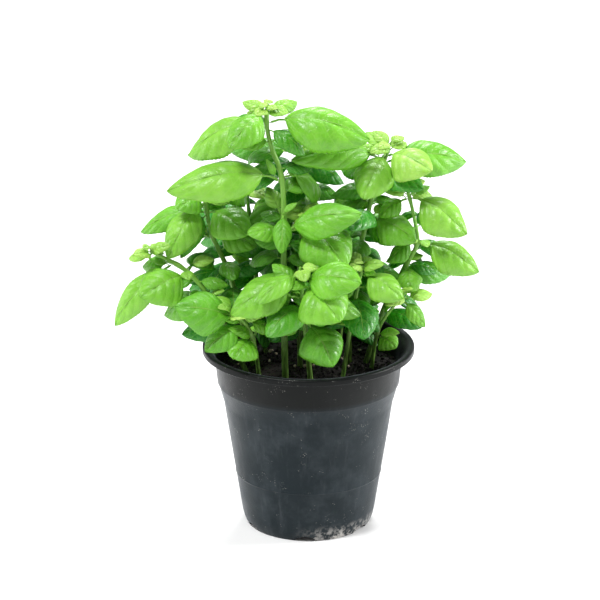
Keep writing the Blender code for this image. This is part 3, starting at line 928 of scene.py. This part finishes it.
# %% Worn plastic, with painted shade on the collar and lip
CHARCOAL = colour(0.009, 0.016, 0.020)
DUST = colour(0.050, 0.062, 0.070)
STREAK = colour(0.085, 0.095, 0.105)
COLLAR_PAINTED_SHADE = colour(0.002, 0.002, 0.001)
LIME = colour(0.42, 0.42, 0.38)
CRUST = colour(0.52, 0.50, 0.47)
SHARP_EDGE = math.radians(38)


def wear_group():
    tree, n, ends, out = new_group(
        "worn_plastic",
        [("Position", "Vector", None), ("Speck Scale", "Float", 900.0)],
        [("Dust", "Float"), ("Specks", "Float"), ("Streaks", "Float"), ("Height", "Float")])
    place = ends["Position"]
    dust = n.ramp(n.noise(place, 55.0, 6.0, 0.65), 0.42, 0.78)
    dots = n.add("ShaderNodeTexVoronoi", {"Vector": place, "Scale": ends["Speck Scale"]}).outputs["Distance"]
    sparse = n.ramp(n.noise(place, 130.0, 3.0), 0.56, 0.72)
    specks = n.math("MULTIPLY", n.ramp(dots, 0.30, 0.12), sparse)
    tall = n.add("ShaderNodeMapping", {"Vector": place, "Scale": (1.0, 1.0, 0.12)}).outputs["Vector"]
    streaks = n.ramp(n.noise(tall, 210.0, 5.0, 0.6), 0.50, 0.85)
    grain = n.noise(place, 1800.0, 2.0)
    dents = n.math("MULTIPLY", n.noise(place, 160.0, 3.0), 0.6)
    height = n.math("ADD", n.math("MULTIPLY", grain, 0.4), dents)
    for name, value in (("Dust", dust), ("Specks", specks), ("Streaks", streaks), ("Height", height)):
        n.feed(out[name], value)
    return tree


def pot_plastic():
    material, n, shader = new_material("pot_plastic")
    shader.inputs["Specular IOR Level"].default_value = 0.16
    shader.inputs["Sheen Weight"].default_value = 0.16
    shader.inputs["Sheen Roughness"].default_value = 0.3
    shader.inputs["Sheen Tint"].default_value = colour(0.80, 0.88, 1.0)
    position = n.add("ShaderNodeTexCoord").outputs["Object"]
    wear = n.group(wear_group(), {"Position": position})
    parts = n.add("ShaderNodeSeparateXYZ", {"Vector": position}).outputs
    height = parts["Z"]
    base = n.mix(n.math("MULTIPLY", wear["Dust"], 0.55), CHARCOAL, DUST)
    base = n.mix(n.math("MULTIPLY", wear["Streaks"], 0.35), base, STREAK)
    # painted shade: from the collar line up, collar and lip are darkened nearly to black
    collar = n.math("MULTIPLY", n.ramp(height, 0.089, 0.095), 0.85)
    base = n.mix(collar, base, COLLAR_PAINTED_SHADE)
    base = n.mix(n.math("MULTIPLY", wear["Specks"], 0.75), base, LIME)
    low = n.ramp(height, 0.012, 0.001)
    right = n.ramp(parts["X"], -0.012, 0.018)
    flakes = n.ramp(n.noise(position, 190.0, 5.0, 0.7), 0.44, 0.60)
    crust = n.math("MULTIPLY", n.math("MULTIPLY", low, right), flakes)
    base = n.mix(crust, base, CRUST)
    n.feed(shader.inputs["Base Color"], base)
    shine = n.math("MULTIPLY_ADD", wear["Dust"], 0.22, 0.36)
    n.feed(shader.inputs["Roughness"], n.math("ADD", shine, n.math("MULTIPLY", crust, 0.3)))
    bump = n.add("ShaderNodeBump", {"Height": wear["Height"], "Strength": 0.25, "Distance": 0.0006})
    n.feed(shader.inputs["Normal"], bump.outputs["Normal"])
    return material


pot = cut_pot()
smooth(pot)
for edge in pot.edges:
    if len(edge.link_faces) == 2 and edge.calc_face_angle(0) > SHARP_EDGE:
        edge.smooth = False
pot_piece = finished(pot, "nursery_pot_shell", (pot_plastic(),))
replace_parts(pot_piece, "nursery_pot")
print("pot of", len(pot_piece.data.polygons), "faces")

# %% [markdown]
# ## The soil
# Potting mix is almost black where it is damp: peat crumbs and a few cream grains of perlite. The
# bed is a spun block whose top is roughened with noise, with loose crumbs strewn on it.

# %% Soil bed and crumbs
SOIL_EDGE = 56.0 * MM
SOIL_STEPS = 56
SOIL_TURNS = 160
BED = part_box("potting_soil")[1].z - 3.0 * MM
PEAT, PEAT_BROWN = colour(0.0035, 0.0025, 0.002), colour(0.022, 0.014, 0.008)
FIBRE = colour(0.09, 0.06, 0.035)
PERLITE_PIT, PERLITE = colour(0.55, 0.42, 0.25), colour(0.86, 0.80, 0.66)
CRUMBS, CRUMB_SIZE = 900, (0.8, 2.6)            # sizes in millimetres
GRAINS, GRAIN_SIZE = 34, (1.2, 2.6)


def bed_height(x, y):
    spot = Vector((x, y, 0))
    lump = noise.noise(spot * 70) * 1.6 + noise.noise(spot * 210) * 1.2 + noise.noise(spot * 600) * 0.5
    return BED + lump * MM


def soil_material():
    material, n, shader = new_material("damp_peat", Roughness=0.85)
    position = n.add("ShaderNodeTexCoord").outputs["Object"]
    coarse = n.noise(position, 260.0, 6.0, 0.7)
    fine = n.noise(position, 1500.0, 4.0, 0.7)
    base = n.mix(n.ramp(coarse, 0.35, 0.75), PEAT, PEAT_BROWN)
    base = n.mix(n.math("MULTIPLY", n.ramp(fine, 0.62, 0.78), 0.5), base, FIBRE)
    n.feed(shader.inputs["Base Color"], base)
    n.feed(shader.inputs["Roughness"], n.math("MULTIPLY_ADD", fine, 0.3, 0.6))
    crumbs = n.math("ADD", coarse, fine)
    bump = n.add("ShaderNodeBump", {"Height": crumbs, "Strength": 0.8, "Distance": 0.001})
    n.feed(shader.inputs["Normal"], bump.outputs["Normal"])
    return material


def perlite_material():
    material, n, shader = new_material("perlite", Roughness=0.9)
    position = n.add("ShaderNodeTexCoord").outputs["Object"]
    pits = n.noise(position, 900.0, 4.0, 0.7)
    n.feed(shader.inputs["Base Color"], n.mix(n.ramp(pits, 0.35, 0.65), PERLITE_PIT, PERLITE))
    n.feed(shader.inputs["Roughness"], n.math("MULTIPLY_ADD", pits, 0.2, 0.75))
    bump = n.add("ShaderNodeBump", {"Height": pits, "Strength": 0.7, "Distance": 0.0006})
    n.feed(shader.inputs["Normal"], bump.outputs["Normal"])
    return material


def soil_bed():
    rings = [(SOIL_EDGE * k / SOIL_STEPS, BED) for k in range(SOIL_STEPS, -1, -1)]
    wall = [(0.0, 1.6 * MM), (37.0 * MM, 1.6 * MM), (39.5 * MM, 9.0 * MM)]
    wall += [(50.7 * MM, SHOULDER), (54.2 * MM, COLLAR_LINE)]
    bm = spun(rings + wall, SOIL_TURNS)
    for vert in bm.verts:
        if vert.co.z > BED - 0.5 * MM:
            vert.co.z = bed_height(vert.co.x, vert.co.y)
    smooth(bm)
    return bm


def scatter(count, sizes, reach, sink, squash):
    """Loose lumps on the soil: knobbly little solids, turned every way."""
    bm = bmesh.new()
    for _ in range(count):
        radius, turn = reach * math.sqrt(rng.random()), rng.uniform(0, math.tau)
        size = rng.uniform(*sizes) * MM
        x, y = radius * math.cos(turn), radius * math.sin(turn)
        place = Matrix.Translation((x, y, bed_height(x, y) + size * sink))
        tumble = Matrix.Rotation(rng.uniform(0, 6), 4, "X") @ Matrix.Rotation(rng.uniform(0, 6), 4, "Y")
        made = bmesh.ops.create_icosphere(bm, subdivisions=1, radius=size / 2)["verts"]
        for vert in made:
            vert.co *= 1 + 0.5 * noise.noise(vert.co * 900 + Vector((x, y, 0)) * 4000)
            vert.co.x *= squash
        bmesh.ops.transform(bm, matrix=place @ tumble, verts=made)
    return bm


peat = soil_material()
bed_piece = finished(soil_bed(), "soil_bed", (peat,))
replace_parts(bed_piece, "potting_soil")
finished(scatter(CRUMBS, CRUMB_SIZE, 54.5 * MM, 0.15, 1.5), "soil_crumbs", (peat,))
grains = scatter(GRAINS, GRAIN_SIZE, 53 * MM, 0.3, 1.2)
finished(grains, "perlite_grains", (perlite_material(),))
print("soil bed and loose crumbs made")
